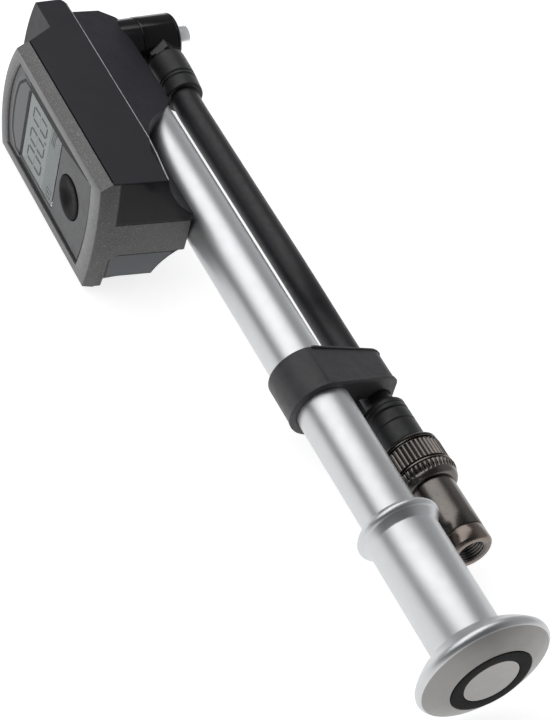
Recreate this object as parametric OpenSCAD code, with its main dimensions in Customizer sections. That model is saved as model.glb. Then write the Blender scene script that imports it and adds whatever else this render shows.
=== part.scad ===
// Digital shock pump, closed, lying on the far side of its gauge head.
// +X runs from the head to the handle, the display faces -Y, the hose side is +Y.

/* [Barrel] */
// Outside diameter of the barrel tube
barrel_d = 16; // [14:0.5:18]
// Wall of the barrel tube
barrel_wall = 1.5; // [1:0.25:2]
// Distance of the barrel's head end from mid-length
barrel_head_x = 110; // [106:1:112]
// Distance of the barrel's handle end from mid-length
barrel_end_x = 112; // [108:1:114]

/* [Handle] */
// Outside diameter of the sliding sleeve
sleeve_d = 19.7; // [19:0.1:20.5]
// Diameter of the ring at the sleeve's open end
ring_d = 23.6; // [23:0.1:25]
// Distance of the sleeve's open end from mid-length
sleeve_x = 77.3; // [76:0.1:80]
// Diameter of the palm knob
knob_d = 37.5; // [34:0.1:39.5]
// Distance of the palm knob's face from mid-length
face_x = 128.4; // [126:0.1:130]
// Diameter of the piston rod
rod_d = 7; // [6:0.5:8]

/* [Gauge head] */
// Width of the head across the display
head_w = 40; // [38:0.5:42]
// Distance from the pump axis to the front of the bezel
front_y = 36.5; // [36:0.1:38]
// Depth of the bezel's sloping edge
bezel_depth = 4.2; // [3:0.1:5]
// How much narrower the bezel is at its front, on each side
bezel_slope = 1.7; // [1:0.1:2]
// Distance from the pump axis to the crease along the side plates
crease_y = 15; // [14:0.5:16]
// Radius of the head where it wraps the barrel
wrap_r = 9.3; // [9.1:0.1:10]
// Wall of the head shells around the electronics
shell_wall = 1.8; // [1.4:0.1:2.2]

/* [Display] */
// Length of the visible display glass along the pump
lcd_l = 23; // [20:0.5:24]
// Width of the visible display glass across the pump
lcd_w = 25; // [22:0.5:26]
// Radius of the round button
button_r = 6.6; // [5:0.1:6.7]
// Travel of the round button
button_travel = 0.7; // [0.4:0.1:0.8]

/* [Hose] */
// Outside diameter of the hose
hose_d = 8.8; // [8:0.1:9]
// Distance from the pump axis to the straight run of the hose
hose_y = 15.6; // [15.4:0.1:16]
// Sideways distance of the chuck from the pump axis
chuck_y = 19.05; // [18.9:0.05:20]
// Drop of the chuck below the pump axis, so that it clears the handle ring
chuck_drop = 5.55; // [5.4:0.05:6]
// Distance of the banjo fitting's axis from mid-length
banjo_x = 118.5; // [118:0.1:119]
// Radius of the banjo fitting
banjo_r = 8.3; // [7.8:0.1:8.4]

/* [Chuck] */
// Diameter of the chuck's tip
tip_d = 13; // [11:0.1:13]
// Diameter of the knurled collar
collar_d = 18.2; // [16:0.1:18.4]
// Distance of the chuck's mouth from mid-length
mouth_x = 88; // [87:0.1:89]
// Radius of the valve thread in the chuck's mouth
thread_r = 3.85; // [3.8:0.01:3.9]
// Depth of the valve thread
thread_l = 8.8; // [8:0.1:9]

/* [Clip] */
// Width of the hose clip along the barrel
clip_w = 14.2; // [12:0.1:16]
// Thickness of the hose clip around the barrel
clip_t = 2; // [1.5:0.1:2.4]
// Distance of the clip's middle from mid-length
clip_x = 28.6; // [28:0.1:28.7]

/* [Hidden] */
$fn = 96;

run = 0.05;                       // radial clearance of a running fit
barrel_r = barrel_d / 2;
bore_r = barrel_r - barrel_wall;
sleeve_r = sleeve_d / 2;
knob_r = knob_d / 2;
head_h = head_w / 2;
back_y = front_y - bezel_depth;   // where the bezel meets the shells
top_y = 28.9;                     // outermost point of the banjo bolt
axis_x = (banjo_x + banjo_r - face_x) / 2; // puts the middle of the box on X = 0
axis_y = (front_y - top_y) / 2;   // and on Y = 0
axis_z = head_h;                  // the head's far side lies on Z = 0

bezel_end_x = -38.4;              // middle of the bezel's lower end
end_tilt = 7;                     // below the bezel the end leans towards the handle
end_r = 89;                       // its bow across the head
bezel_top_x = -107.6;             // middle of the bezel's upper end
bezel_top_r = 40;
top_tilt = 23;
hood_r = 44;                      // bow of the slope between the bezel and the brow
brow_x = -123.8;                  // middle of the brow above the bezel
brow_r = 60;
tongue_w = 11.6;                  // strip of the bezel that runs down the lower end
tongue_t = 2.2;

lcd_x = -78.9;                    // middle of the display glass
button_x = -58;
cells_x = -56;
cells_y = -23.6;
cell_r = 5.8;
sensor_x = -113.5;
screw_at = [[-115.2, -19.3], [-104.6, -26.5], [-80, -17.3], [-45.2, -19.4]];
screw_head_r = 2;
pin_travel = 2;

banjo_y0 = 10.8;                  // seat of the banjo on the head
banjo_y1 = 22.4;                  // seat of the cap
banjo_y = 17.3;                   // middle line of the hose at the banjo
hose_r = hose_d / 2;
hose_bore = 1.6;
cap_y = banjo_y1 + 1.5;
drop_a = atan2(-chuck_drop, chuck_y - hose_y);
drop_h = sqrt(pow(chuck_drop, 2) + pow(chuck_y - hose_y, 2));
nip_x = -108.6;                   // end of the hose nut
bend1_x = -106;                   // first bend, from the banjo to the straight run
bend1_l = 24;
boot_keep = 0.24;                 // how much of the bend's second arc the boot covers
boot_r = 5.9;
tail_r = 6.6;                     // lower boot
bend2_x = -20;                    // second bend, out to the chuck
bend2_l = 36;
hose_end_x = 46;
boot_x = 36.1;                    // lower boot, from the clip to the collar
collar_x = 52;
collar_l = 14.3;
tip_x = 60;
seat_x = mouth_x - thread_l;

// turns a shape made along Z so that it lies along X and starts at x
module lie(x = 0) { translate([x, 0, 0]) rotate([0, 90, 0]) children(); }

// a shape made along Z, turned to stand along Y, starting at y
module stand(x, y, z = 0) { translate([x, y, z]) rotate([-90, 0, 0]) children(); }

// tube along X from x0 to x1
module tube_x(x0, x1, r, ri = 0) {
    lie(x0) difference() {
        cylinder(r = r, h = x1 - x0);
        if (ri > 0) translate([0, 0, -1]) cylinder(r = ri, h = x1 - x0 + 2);
    }
}

// a block given by its low and high corners
module block(a, b) { translate(a) cube([for (i = [0:2]) b[i] - a[i]]); }

// extrudes a Y-Z outline along X
module section_x(x0, x1) {
    translate([x0, 0, 0]) rotate([90, 0, 90]) linear_extrude(x1 - x0) children();
}

// extrudes an X-Y outline along Z, between -h and h
module profile_z(h) { translate([0, 0, -h]) linear_extrude(2 * h) children(); }

// moves the pump's own frame to the part's frame: the box's base centre
module place() { translate([axis_x, axis_y, axis_z]) children(); }

// moves to the middle line of the chuck
module at_chuck() { translate([0, chuck_y, -chuck_drop]) children(); }

// ring with a round section lying around the X axis
module ring_x(x, r, t) { lie(x) rotate_extrude() translate([r, 0]) circle(r = t, $fn = 24); }

// ---- head shapes shared by the bezel and the shells ----

// everything inside a bowed end that passes through (x, y): sign 1 bows towards
// -X, -1 towards +X
module bow(x, y, r, sign, tilt = 0) {
    translate([x, y, 0]) rotate([0, 0, tilt])
        stand(sign * r, -80) cylinder(r = r, h = 160, $fn = 200);
}

module end_bow(in = 0) { bow(bezel_end_x - in, -back_y, end_r, -1, -end_tilt); }

// full section of the head: flat sides, then sides that close on the barrel
module wrap_section() {
    d = sqrt(pow(crease_y, 2) + pow(head_h, 2));
    a = atan2(head_h, -crease_y) - acos(wrap_r / d);
    polygon(concat(
        [[-crease_y, -head_h], [-back_y, -head_h], [-back_y, head_h], [-crease_y, head_h]],
        [for (i = [0:24]) wrap_r * [cos(a - 2 * a * i / 24), sin(a - 2 * a * i / 24)]]
    ));
}

// section of the lower head: a web with hollow flanks that ends on the barrel
module web_section() {
    flank = 18.3;
    difference() {
        translate([-back_y, -head_h]) square([back_y - 7.8, head_w]);
        translate([1.2, 23.8]) circle(r = flank);
        translate([1.6, -20]) circle(r = flank);
    }
}

// side view of the upper head: brow, slanting top, and slanting lower edge
module upper_profile() {
    difference() {
        polygon([
            [-50, -back_y], [-50, -crease_y], [-56.5, -crease_y], [-90, 11],
            [-122, 11], [-126, 7.5], [-125.6, 3.2],
            [-114, -crease_y], [-119, -crease_y - 0.2], [-130, -22.4],
            [-130, -24], [-116, -24], [-112, -back_y]
        ]);
        translate([-39.1, 28.6]) circle(r = 46.7, $fn = 180);
    }
}

module head_outer() {
    intersection() {
        union() {
            intersection() {
                section_x(-132, -40) wrap_section();
                profile_z(head_h) upper_profile();
            }
            section_x(-104, -30) web_section();
        }
        end_bow();
        union() {
            block([-140, -24, -30], [0, 20, 30]);
            bow(bezel_top_x - bezel_depth * tan(top_tilt), -back_y, hood_r, 1, 30);
        }
        bow(brow_x, 0, brow_r, 1);
    }
}

// room for the electronics, open to the front
module head_cavity() {
    w = head_h - shell_wall;
    block([-100, -back_y - 1, -w], [-46.5, -18.8, w]);
    stand(cells_x, cells_y, 0) rotate([90, 0, 0])
        translate([0, 0, -7]) cylinder(r = cell_r + 0.2, h = 24, center = true);
}

// screw holes with counterbores in the far shell
module screw_holes(clear) {
    for (p = screw_at) translate([p[0], p[1], -head_h - 1]) {
        cylinder(r = 1.25 + clear, h = head_h + 12.1);
        cylinder(r = screw_head_r + clear, h = 3);
    }
}

// passages for the barrel, the core, the bleed valve and the sensor
module head_passages(gap = 0.05) {
    tube_x(-barrel_head_x, -20, barrel_r + gap);
    core_shape(gap);
    lie(-130) translate([0, -6, 0]) cylinder(r = 3.2 + gap, h = 14);
    stand(sensor_x, -17, 0) cylinder(r = 4.5 + gap, h = 10);
}

module core_shape(gap = 0) {
    tube_x(-117 - gap, -barrel_head_x + gap, barrel_r - 0.1 + gap);
    stand(-banjo_x, 1.5 - gap) cylinder(r = banjo_r - 0.1 + gap, h = banjo_y0 - 1.5 + 2 * gap);
}

module head_shell() {
    difference() {
        head_outer();
        head_cavity();
        head_passages();
        // seat of the bezel's tongue
        difference() {
            block([-60, -back_y - 1, -tongue_w / 2 - 0.05], [-30, -7, tongue_w / 2 + 0.05]);
            end_bow(tongue_t + 0.05);
        }
        // lip around the bezel's own tenon
        block([-99, -back_y - 1, -head_h + 0.9], [-44.4, -back_y + 1.2, head_h - 0.9]);
    }
}

module housing_near() {
    color([0.20, 0.20, 0.22]) place() difference() {
        head_shell();
        block([-140, -50, -50], [0, 20, 0]);
        screw_holes(0);
        tube_x(-120, -90, 0.01);
    }
}

module housing_far() {
    color([0.17, 0.17, 0.19]) place() difference() {
        head_shell();
        block([-140, -50, 0], [0, 20, 50]);
        screw_holes(0.1);
        translate([cells_x, cells_y, -head_h - 1]) cylinder(r = 7 + run, h = 3.4);
        // bevel between the far side and the lower end
        translate([0, -back_y, 0]) rotate([-90, 0, 0]) linear_extrude(50)
            polygon([[-39.6, 15.6], [-30, 15.6], [-30, 21], [-43.8, 21]]);
    }
}

// sloping frame around the display, with a tongue down the lower end
module bezel_frame() {
    w = head_h - bezel_slope;
    color([0.40, 0.40, 0.40]) place() difference() {
        union() {
            intersection() {
                section_x(-112, -36) polygon([
                    [-front_y, -w], [-front_y, w], [-back_y - 0.1, head_h],
                    [-back_y - 0.1, -head_h]
                ]);
                bow(bezel_top_x, -front_y, bezel_top_r, 1, top_tilt);
                bow(bezel_end_x, 0, end_r, -1);
            }
            // tenon inside the shells
            block([-98.9, -back_y - 0.2, -head_h + 1], [-44.5, -back_y + 1.1, head_h - 1]);
            // tongue
            intersection() {
                difference() {
                    block([-50, -back_y - 0.2, -tongue_w / 2], [-30, -8.4, tongue_w / 2]);
                    end_bow(tongue_t);
                }
                end_bow();
            }
        }
        // window for the face panel, then the room behind it
        stand(0, -front_y - 1) panel_outline(2.4, 0.05);
        block([-97.5, -front_y + 1.3, -14.3], [-46.5, -back_y + 0.5, 14.3]);
        block([-97.5, -back_y + 0.4, -17.3], [-46.5, -back_y + 2, 17.3]);
    }
}

// solid of the face panel's outline, h thick, grown by g
module panel_outline(h, g = 0) {
    w = 15.3 + g;
    intersection() {
        translate([-110, -w, 0]) cube([70, 2 * w, h]);
        translate([-103.4 - g + 34, 0, 0]) cylinder(r = 34, h = h, $fn = 200);
        translate([-44.6 + g - 60, 0, 0]) cylinder(r = 60, h = h, $fn = 200);
    }
}

module face_panel() {
    color([0.42, 0.42, 0.43]) place() difference() {
        stand(0, -front_y + 0.6) panel_outline(0.75);
        block([lcd_x - lcd_l / 2, -40, -lcd_w / 2], [lcd_x + lcd_l / 2, -30, lcd_w / 2]);
        stand(button_x, -40) cylinder(r = button_r + 0.2, h = 10);
    }
}

module lcd_window() {
    color([0.75, 0.80, 0.78, 0.5]) place()
        block([lcd_x - lcd_l / 2 + 0.05, -front_y + 0.7, -lcd_w / 2 + 0.05],
              [lcd_x + lcd_l / 2 - 0.05, -front_y + 1.35, lcd_w / 2 - 0.05]);
}

module lcd_module() {
    color([0.66, 0.70, 0.66]) place()
        block([lcd_x - lcd_l / 2 - 1, -35.1, -lcd_w / 2 - 1], [lcd_x + lcd_l / 2 + 1, -31.6, lcd_w / 2 + 1]);
}

module circuit_board() {
    color([0.10, 0.36, 0.20]) place() block([-96, -31.5, -16.5], [-47.5, -30, 16.5]);
}

module button_switch() {
    color([0.7, 0.7, 0.7]) place() stand(button_x, -32.4) cylinder(r = 2.2, h = 0.9);
}

// rubber button with a flange behind the panel and a dished front
module power_button() {
    color([0.22, 0.22, 0.23]) place() difference() {
        union() {
            stand(button_x, -front_y + 0.3) cylinder(r = button_r, h = 1.5);
            stand(button_x, -front_y + 1.6) cylinder(r = button_r + 0.6, h = 0.8);
            stand(button_x, -front_y + 2.3) cylinder(r = 1.8, h = 1.0);
        }
        translate([button_x, -front_y - 13.1, 0]) sphere(r = 14.2);
    }
}

module pressure_sensor() {
    color([0.75, 0.75, 0.72]) place() {
        stand(sensor_x, -16.5) cylinder(r = 4.4, h = 7.2);
        stand(sensor_x, -9.4) cylinder(r = 1.5, h = 1.6);
    }
}

module battery_cells() {
    color([0.78, 0.78, 0.76]) place()
        for (i = [0, 1]) translate([cells_x, cells_y, -17.4 + 5.5 * i]) cylinder(r = cell_r, h = 5.4);
}

module battery_contact() {
    color([0.8, 0.75, 0.5]) place() translate([cells_x, cells_y, -6.3]) {
        cylinder(r = 4, h = 0.4);
        cylinder(r = 1.2, h = 1.6);
    }
}

// quarter-turn cover with a coin slot
module battery_cover() {
    color([0.15, 0.15, 0.17]) place() difference() {
        translate([cells_x, cells_y, -head_h]) cylinder(r = 7, h = 2.3);
        translate([cells_x, cells_y, -head_h - 0.1]) cube([10, 1.6, 2], center = true);
    }
}

module housing_screws() {
    color([0.3, 0.3, 0.3]) place() for (p = screw_at) translate([p[0], p[1], -head_h + 0.4]) difference() {
        union() {
            cylinder(r = screw_head_r, h = 1.55);
            cylinder(r = 1.25, h = head_h + 10);
        }
        translate([0, 0, -0.1]) cylinder(r = 1, h = 1, $fn = 6);
    }
}

// ---- barrel and valve block ----

module barrel_tube() {
    color([0.83, 0.84, 0.85]) place() tube_x(-barrel_head_x + 0.05, barrel_end_x, barrel_r, bore_r);
}

// plug in the barrel's handle end that guides the rod
module rod_guide() {
    color([0.14, 0.14, 0.15]) place() difference() {
        union() {
            tube_x(barrel_end_x - 12, barrel_end_x, bore_r - 0.02, rod_d / 2 + run);
            tube_x(barrel_end_x, barrel_end_x + 1.5, barrel_r, rod_d / 2 + run);
        }
        lie(barrel_end_x - 7) cylinder(r = rod_d / 2 + 1.4, h = 2.2);
    }
}

module rod_seal() {
    color([0.1, 0.1, 0.1]) place() tube_x(barrel_end_x - 6.9, barrel_end_x - 4.9, rod_d / 2 + 1.35, rod_d / 2 + run);
}

// valve block: plug in the barrel, banjo boss, and the air passages
module head_core() {
    color([0.09, 0.09, 0.10]) place() difference() {
        union() {
            core_shape();
            tube_x(-barrel_head_x - 1, -102, bore_r - 0.05);
        }
        tube_x(-108, -101, 1.7);                                  // check valve
        tube_x(-121, -107, 0.8);                                  // passage to the banjo
        stand(-banjo_x, 2.5) cylinder(r = 2.5, h = 10);           // banjo bolt thread
        stand(-banjo_x, 0) cylinder(r = 0.8, h = 4);
        lie(-118) translate([0, -6, 0]) cylinder(r = 1 + run, h = 7.6); // bleed stem
        stand(-110.9, -6) cylinder(r = 0.4, h = 6);               // passage to the bleed
        lie(-118) translate([0, -6, 0]) cylinder(r = 2.3, h = 2.4);     // bleed spring
        stand(sensor_x, -9.4) cylinder(r = 1.5, h = 9.4);         // gauge passage
        tube_x(-106, -104.4, bore_r + 1, 5);                      // seal groove
    }
}

module core_o_ring() {
    color([0.1, 0.1, 0.1]) place() lie(-105.2) rotate_extrude() translate([bore_r - 0.75, 0]) circle(r = 0.7, $fn = 24);
}

module check_ball() { color([0.8, 0.8, 0.8]) place() lie(-104) translate([0, 0, 0]) sphere(r = 1.3); }

module check_spring() { color([0.7, 0.7, 0.7]) place() tube_x(-107.9, -105.6, 1.5, 1.1); }

module bleed_button() {
    color([0.12, 0.12, 0.13]) place() translate([0, -6, 0]) {
        tube_x(-121.6, -119.4, 3);
        tube_x(-119.6, -113.5, 1);
    }
}

module bleed_spring() { color([0.7, 0.7, 0.7]) place() translate([0, -6, 0]) tube_x(-117.9, -115.7, 2, 1.4); }

module bleed_seal() { color([0.1, 0.1, 0.1]) place() translate([0, -6, 0]) tube_x(-113.4, -112.1, 1); }

// ---- handle ----

// shallow curve from a to b that bulges by h to its right-hand side
function bulged(a, b, h, n) = let (d = b - a, w = [d[1], -d[0]] / norm(d))
    [for (i = [0:n]) a + d * i / n + w * 4 * h * i / n * (1 - i / n)];

module handle_grip() {
    s = sleeve_x;
    ri = barrel_r + 0.35;
    f = face_x;
    color([0.84, 0.85, 0.86]) place() difference() {
        lie() rotate_extrude() polygon(concat(
            [[ri, s], [ring_d / 2 - 1.3, s], [ring_d / 2 - 0.9, s + 0.5]],
            // rounded ring
            [for (a = [-60:20:60]) [ring_d / 2 - 1 + cos(a), s + 1.7 + 1.2 * sin(a)]],
            // hollow curve down to the sleeve
            [for (a = [0:15:90]) [sleeve_r + 1.1 * (1 - sin(a)), s + 2.9 + 2.3 * sin(a / 1.15)]],
            [[sleeve_r, f - 11.3]],
            // flare of the knob
            bulged([sleeve_r + 0.1, f - 11.2], [knob_r - 0.5, f - 5.8], 0.7, 8),
            // rounded rim, then the cone of the palm face
            [[knob_r - 0.1, f - 5.2], [knob_r, f - 4.6], [knob_r - 0.1, f - 4], [knob_r - 0.5, f - 3.4],
             [11.46, f - 0.2], [11.46, f], [0, f], [0, f - 9.5], [ri, f - 9.5]]
        ));
        tube_x(f - 1.2, f + 1, 11.46);
        tube_x(f - 12, f, 2.1);
        tube_x(f - 4, f, 3.1);
    }
}

module handle_end_ring() {
    color([0.07, 0.07, 0.08]) place() tube_x(face_x - 1.15, face_x - 0.1, 11.4, 7.9);
}

module handle_end_disc() {
    color([0.78, 0.78, 0.78]) place() tube_x(face_x - 1.15, face_x, 7.85);
}

// rubber stop that meets the rod guide when the pump closes
module handle_bumper() {
    color([0.2, 0.2, 0.2]) place() tube_x(face_x - 12.6, face_x - 9.55, 7.6, rod_d / 2 + 0.02);
}

module piston_rod() {
    color([0.8, 0.8, 0.8]) place() difference() {
        tube_x(-96, face_x - 9.55, rod_d / 2);
        tube_x(face_x - 22, face_x - 9, 2);
        tube_x(-97, -88, 1.5);
    }
}

module rod_screw() {
    color([0.6, 0.6, 0.6]) place() {
        tube_x(face_x - 21, face_x - 3.5, 1.98);
        difference() {
            tube_x(face_x - 4, face_x - 1.3, 3.05);
            lie(face_x - 2.6) cylinder(r = 1.5, h = 2, $fn = 6);
        }
    }
}

module piston() {
    color([0.2, 0.2, 0.2]) place() difference() {
        union() {
            tube_x(-101, -96, bore_r - run);
            tube_x(-96.5, -88.5, 1.48);
        }
        tube_x(-99.8, -97.2, bore_r + 1, bore_r - 1.5);
    }
}

module piston_seal() {
    color([0.1, 0.1, 0.1]) place() tube_x(-99.7, -97.3, bore_r - 0.02, bore_r - 1.45);
}

// ---- hose, banjo and chuck ----

module banjo_bolt() {
    color([0.75, 0.75, 0.76]) place() difference() {
        union() {
            stand(-banjo_x, 3.5) cylinder(r = 2.48, h = 21);
            stand(-banjo_x, cap_y) cylinder(r = 3.7, h = top_y - cap_y);
        }
        stand(-banjo_x, top_y - 2.2) cylinder(r = 1.9, h = 3, $fn = 6);
    }
}

// black end cap of the banjo, held by the bolt
module banjo_cap() {
    color([0.07, 0.07, 0.08]) place() stand(-banjo_x, banjo_y1 + 0.05) rotate_extrude() polygon([
        [2.5, 0], [banjo_r, 0], [banjo_r, 0.3], [banjo_r - 0.3, 0.9], [banjo_r - 0.9, 1.3],
        [banjo_r - 1.6, 1.45], [2.5, 1.45]
    ]);
}

module banjo_o_rings() {
    color([0.1, 0.1, 0.1]) place() for (y = [banjo_y0 + 1.6, banjo_y1 - 1.6])
        stand(-banjo_x, y) rotate_extrude() translate([3.2, 0]) circle(r = 0.6, $fn = 24);
}

module banjo_body() {
    color([0.07, 0.07, 0.08]) place() difference() {
        stand(-banjo_x, banjo_y0 + 0.1) cylinder(r = banjo_r, h = banjo_y1 - banjo_y0 - 0.15);
        stand(-banjo_x, 0) cylinder(r = 2.53, h = 40);
        for (y = [banjo_y0 + 1.6, banjo_y1 - 1.6])
            stand(-banjo_x, y) rotate_extrude() translate([3.2, 0]) circle(r = 0.7, $fn = 24);
        translate([0, banjo_y, 0]) tube_x(-banjo_x, nip_x, 1.6);
    }
}

// hexagonal nut that holds the hose to the banjo
module hose_nipple() {
    color([0.10, 0.10, 0.11]) place() difference() {
        translate([0, banjo_y, 0]) union() {
            lie(nip_x - 4) cylinder(r = 5.7, h = 4, $fn = 6);
            tube_x(nip_x - 0.1, bend1_x - 0.05, 2.4);
        }
        translate([0, banjo_y, 0]) tube_x(nip_x - 5, bend1_x + 1, hose_bore);
        stand(-banjo_x, 0) cylinder(r = banjo_r + 0.02, h = 40);
    }
}

// two equal arcs that carry a round section sideways by h over a length l, with a
// hairline seam at each end; keep is how much of the second arc is made
module s_bend(h, l, r, ri, keep = 1) {
    t = 2 * atan(h / l);
    br = l / (2 * sin(t));
    seam = 0.01;
    for (k = [0, 1]) let (skip = k * (1 - keep) * t)
        translate([k * l, k * h + (1 - 2 * k) * br, 0]) rotate([0, 0, -90 + 180 * k + seam + skip])
            rotate_extrude(angle = t - skip - 2 * seam) translate([br, 0]) difference() {
                circle(r = r, $fn = 48);
                if (ri > 0) circle(r = ri, $fn = 32);
            }
}

module bend1(r, ri, keep = 1) {
    translate([bend1_x, banjo_y, 0]) rotate([180, 0, 0]) s_bend(banjo_y - hose_y, bend1_l, r, ri, keep);
}

module bend2(r, ri) {
    translate([bend2_x, hose_y, 0]) rotate([drop_a, 0, 0]) s_bend(drop_h, bend2_l, r, ri);
}

module hose() {
    color([0.10, 0.10, 0.11]) place() {
        bend1(hose_r, hose_bore);
        translate([0, hose_y, 0]) tube_x(bend1_x + bend1_l, bend2_x, hose_r, hose_bore);
        bend2(hose_r, hose_bore);
        at_chuck() tube_x(bend2_x + bend2_l, hose_end_x, hose_r, hose_bore);
    }
}

module hose_boot_upper() {
    color([0.12, 0.12, 0.13]) place() {
        translate([0, banjo_y, 0]) tube_x(nip_x + 0.05, bend1_x, boot_r, 2.45);
        bend1(boot_r, hose_r + 0.02, boot_keep);
    }
}

module hose_boot_lower() {
    color([0.12, 0.12, 0.13]) place() at_chuck() difference() {
        union() {
            tube_x(boot_x, 37.3, tail_r - 1.1, hose_r + 0.02);
            tube_x(37.3, hose_end_x, tail_r, hose_r + 0.02);
            tube_x(hose_end_x, collar_x - 0.3, tail_r, 4.2);
        }
        for (x = [40.7, 44.9]) ring_x(x, tail_r + 0.2, 0.5);
    }
}

module hose_ferrule() {
    color([0.6, 0.55, 0.4]) place() at_chuck() tube_x(hose_end_x + 0.05, collar_x - 0.5, 4.15, 3.0);
}

module chuck_stem() {
    color([0.5, 0.45, 0.35]) place() at_chuck() {
        difference() {
            union() {
                tube_x(hose_end_x + 0.1, seat_x - 2.6, 2.95);
                tube_x(seat_x - 7, seat_x - 5.2, 3.2);
            }
            tube_x(hose_end_x, seat_x, 1.5);
            ring_x(seat_x - 8.6, 2.95, 0.5);
        }
    }
}

module stem_o_ring() {
    color([0.1, 0.1, 0.1]) place() at_chuck() ring_x(seat_x - 8.6, 3.0, 0.42);
}

module chuck_collar() {
    x = collar_x;
    r = collar_d / 2;
    color([0.30, 0.28, 0.26]) place() at_chuck() difference() {
        lie() rotate_extrude() polygon([
            [3.0 + run, x], [r - 1.2, x], [r - 0.5, x + 0.5], [r - 0.4, x + 1.4],
            [r - 0.9, x + 1.8], [r - 0.9, x + 2.3], [r - 0.3, x + 2.4],
            [r - 0.3, x + 8.6], [r - 0.9, x + 8.7], [r - 0.9, x + 9.1],
            [r, x + 9.5], [r, x + 12.1], [r - 1, x + collar_l], [3.0 + run, x + collar_l]
        ]);
        tube_x(tip_x - 0.4, x + collar_l + 1, tip_d / 2 + run);
    }
}

module chuck_tip() {
    r = tip_d / 2;
    color([0.30, 0.28, 0.27]) place() at_chuck() difference() {
        lie() rotate_extrude() polygon([
            [3.0 + run, tip_x], [r, tip_x], [r, mouth_x - 5.2], [r - 0.3, mouth_x - 5.1],
            [r - 0.3, mouth_x - 4.8], [r, mouth_x - 4.7], [r, mouth_x - 0.7],
            [r - 0.7, mouth_x], [3.0 + run, mouth_x]
        ]);
        tube_x(seat_x, mouth_x + 1, thread_r);
        tube_x(seat_x - 2.5, seat_x + 0.01, thread_r + 0.3);
        tube_x(seat_x - 7.3, seat_x - 4.9, 3.25);
        tube_x(seat_x - 9.1, seat_x - 8.1, 3.45);
    }
}

module chuck_seal() {
    color([0.1, 0.1, 0.1]) place() at_chuck() tube_x(seat_x - 2.45, seat_x - 0.3, thread_r + 0.27, 1.3);
}

module valve_pin() {
    color([0.8, 0.7, 0.4]) place() at_chuck() {
        tube_x(seat_x - 12, seat_x - 0.6, 0.9);
        tube_x(seat_x - 12, seat_x - 8, 1.4);
    }
}

// band around the barrel with an open hook for the hose
module hose_clip() {
    r1 = barrel_r + clip_t;
    pr = hose_r + 0.25;
    wall = 1;
    cx = chuck_y;
    cz = -chuck_drop;
    color([0.22, 0.22, 0.23]) place() difference() {
        intersection() {
            section_x(clip_x - clip_w, clip_x + clip_w) {
                // band from the top of the ring out over the hose, down behind it,
                // and round the far side of the barrel
                polygon(concat(
                    [[cx + 2.5, 3.2], [cx + pr - 0.3, 2], [cx + pr + wall, 0],
                     [cx + pr + wall, cz - 2.5], [cx + pr, cz - 2.5], [cx, cz],
                     [cx - pr - 1, cz + pr - 1]],
                    [for (a = [-12:-6:-270]) r1 * [cos(a), sin(a)]]
                ));
            }
            profile_z(20) polygon([
                [clip_x - clip_w / 2, -r1 - 1], [clip_x + clip_w / 2, -r1 - 1],
                [clip_x + clip_w / 2, 2], [clip_x + clip_w / 2 - 3.5, cx + 8],
                [clip_x - clip_w / 2, cx + 8]
            ]);
        }
        tube_x(0, 60, barrel_r + run);
        at_chuck() tube_x(0, 60, pr);
        // the way out of the pocket, downwards
        block([0, cx - pr, cz - 20], [60, cx + pr, cz]);
    }
}

barrel_tube();
rod_guide();
rod_seal();
head_core();
core_o_ring();
check_ball();
check_spring();
housing_near();
housing_far();
bezel_frame();
face_panel();
lcd_window();
lcd_module();
circuit_board();
button_switch();
pressure_sensor();
battery_cells();
battery_contact();
battery_cover();
housing_screws();
banjo_bolt();
banjo_cap();
banjo_o_rings();
power_button();
bleed_button();
bleed_spring();
bleed_seal();
handle_grip();
handle_end_ring();
handle_end_disc();
handle_bumper();
piston_rod();
rod_screw();
piston();
piston_seal();
banjo_body();
hose_nipple();
hose_boot_upper();
hose();
hose_boot_lower();
hose_ferrule();
chuck_stem();
stem_o_ring();
chuck_collar();
chuck_tip();
chuck_seal();
valve_pin();
hose_clip();
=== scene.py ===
"""Visual model of a digital shock pump, built around its CAD frame.

Shapes are written in the pump's own frame, in millimetres: X runs from the
gauge head to the handle, Y = Z = 0 is the middle line of the barrel, the
display faces -Y and the hose lies on the +Y side.
"""

import math

import bmesh
import bpy
from mathutils import Matrix, Vector

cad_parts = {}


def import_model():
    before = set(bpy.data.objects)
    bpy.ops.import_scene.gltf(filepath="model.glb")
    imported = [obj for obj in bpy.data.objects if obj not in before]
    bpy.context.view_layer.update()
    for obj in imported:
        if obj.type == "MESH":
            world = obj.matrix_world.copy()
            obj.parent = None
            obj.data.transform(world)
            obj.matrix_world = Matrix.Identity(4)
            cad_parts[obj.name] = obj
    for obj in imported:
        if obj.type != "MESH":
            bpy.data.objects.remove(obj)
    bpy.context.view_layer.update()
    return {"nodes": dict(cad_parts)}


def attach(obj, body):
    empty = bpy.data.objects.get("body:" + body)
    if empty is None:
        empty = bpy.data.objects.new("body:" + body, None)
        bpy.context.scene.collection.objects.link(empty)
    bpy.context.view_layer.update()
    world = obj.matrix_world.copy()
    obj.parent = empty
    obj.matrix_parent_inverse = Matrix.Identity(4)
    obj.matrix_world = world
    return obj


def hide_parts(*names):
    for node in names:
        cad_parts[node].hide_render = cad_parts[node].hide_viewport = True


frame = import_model()

MM = 0.001
BARREL_Y, BARREL_Z = 3.8 * MM, 20 * MM
PUMP = Matrix.Translation((-0.8 * MM, BARREL_Y, BARREL_Z)) @ Matrix.Scale(MM, 4)
CHUCK_Y, CHUCK_Z = 19.05, -5.55
SHARP = math.radians(32)

# ---------------------------------------------------------------- camera

CAMERA_TARGET = Vector((0.0100, 0.0027, 0.0137))
CAMERA_AZIMUTH = math.radians(51.986)
CAMERA_ELEVATION = math.radians(44.741)
CAMERA_ROLL = math.radians(16.633)
CAMERA_DISTANCE = 0.60394
CAMERA_LENS = 109.09


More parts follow.
